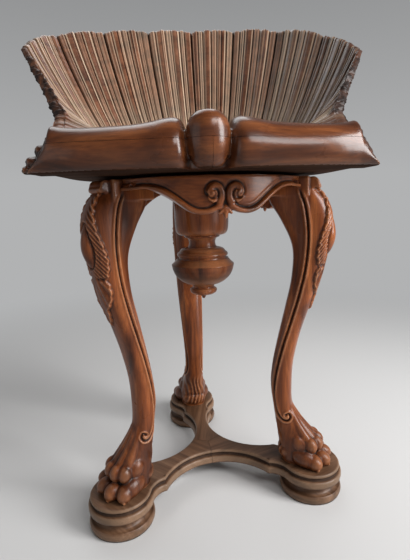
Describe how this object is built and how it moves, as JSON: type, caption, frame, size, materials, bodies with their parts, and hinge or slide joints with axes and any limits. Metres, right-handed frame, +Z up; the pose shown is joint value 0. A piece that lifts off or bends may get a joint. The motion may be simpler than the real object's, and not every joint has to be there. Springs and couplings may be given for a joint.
{
  "type": "swivel stool",
  "caption": "Carved wooden swivel stool: fluted scallop-shell seat on an iron screw that raises it as it turns, scrolled apron, cabriole legs with paw feet, moulded stretcher.",
  "frame": {"origin": "on the floor, on the axis of the seat's screw", "axes": "+Z up along the screw, -Y the way the seat faces, +X the sitter's left as seen from in front: the right-hand side of the stool in front view"},
  "size_m": [0.468, 0.3925, 0.705],
  "materials": {
    "seat_wood": "dark polished walnut, satin, worn paler along the flutes",
    "frame_wood": "dark polished walnut, satin",
    "iron": "dark cast iron",
    "steel": "old bright steel, dulled",
    "leather": "plain tan leather"
  },
  "bodies": {
    "base": {"apron_rail_back_left": "frame_wood", "apron_rail_back_right": "frame_wood", "apron_rail_front": "frame_wood", "drop": "frame_wood", "foot_pad_left": "frame_wood", "foot_pad_rear": "frame_wood", "foot_pad_right": "frame_wood", "foot_screws": "steel", "frame_board": "frame_wood", "frame_board_screws": "steel", "hub": "frame_wood", "leg_left": "frame_wood", "leg_rear": "frame_wood", "leg_right": "frame_wood", "nut": "iron", "nut_screws": "steel", "rail_dowels": "frame_wood", "stretcher_arm_left": "frame_wood", "stretcher_arm_rear": "frame_wood", "stretcher_arm_right": "frame_wood", "stretcher_dowels": "frame_wood"},
    "washer": {"thrust_washer": "leather"},
    "seat": {"front_block": "seat_wood", "plate_screws": "steel", "seat_board_dowels": "seat_wood", "seat_board_left": "seat_wood", "seat_board_right": "seat_wood", "seat_plate": "iron", "shell_stave_left_1": "seat_wood", "shell_stave_left_2": "seat_wood", "shell_stave_left_3": "seat_wood", "shell_stave_left_4": "seat_wood", "shell_stave_left_5": "seat_wood", "shell_stave_right_1": "seat_wood", "shell_stave_right_2": "seat_wood", "shell_stave_right_3": "seat_wood", "shell_stave_right_4": "seat_wood", "shell_stave_right_5": "seat_wood", "spindle": "steel", "stop_pin": "steel"}
  },
  "joints": [
    {"name": "seat_turn", "type": "hinge", "parent": "base", "child": "washer", "pos_m": [0, 0, 0.452], "axis": [0, 0, 1], "range_deg": [0, 3330]},
    {"name": "seat_rise", "type": "slide", "parent": "washer", "child": "seat", "axis": [0, 0, 1], "range_m": [0, 0.0741]}
  ],
  "couplings": [
    {"joint": "seat_rise", "follows": "seat_turn", "m_per_rad": 0.0012732}
  ]
}
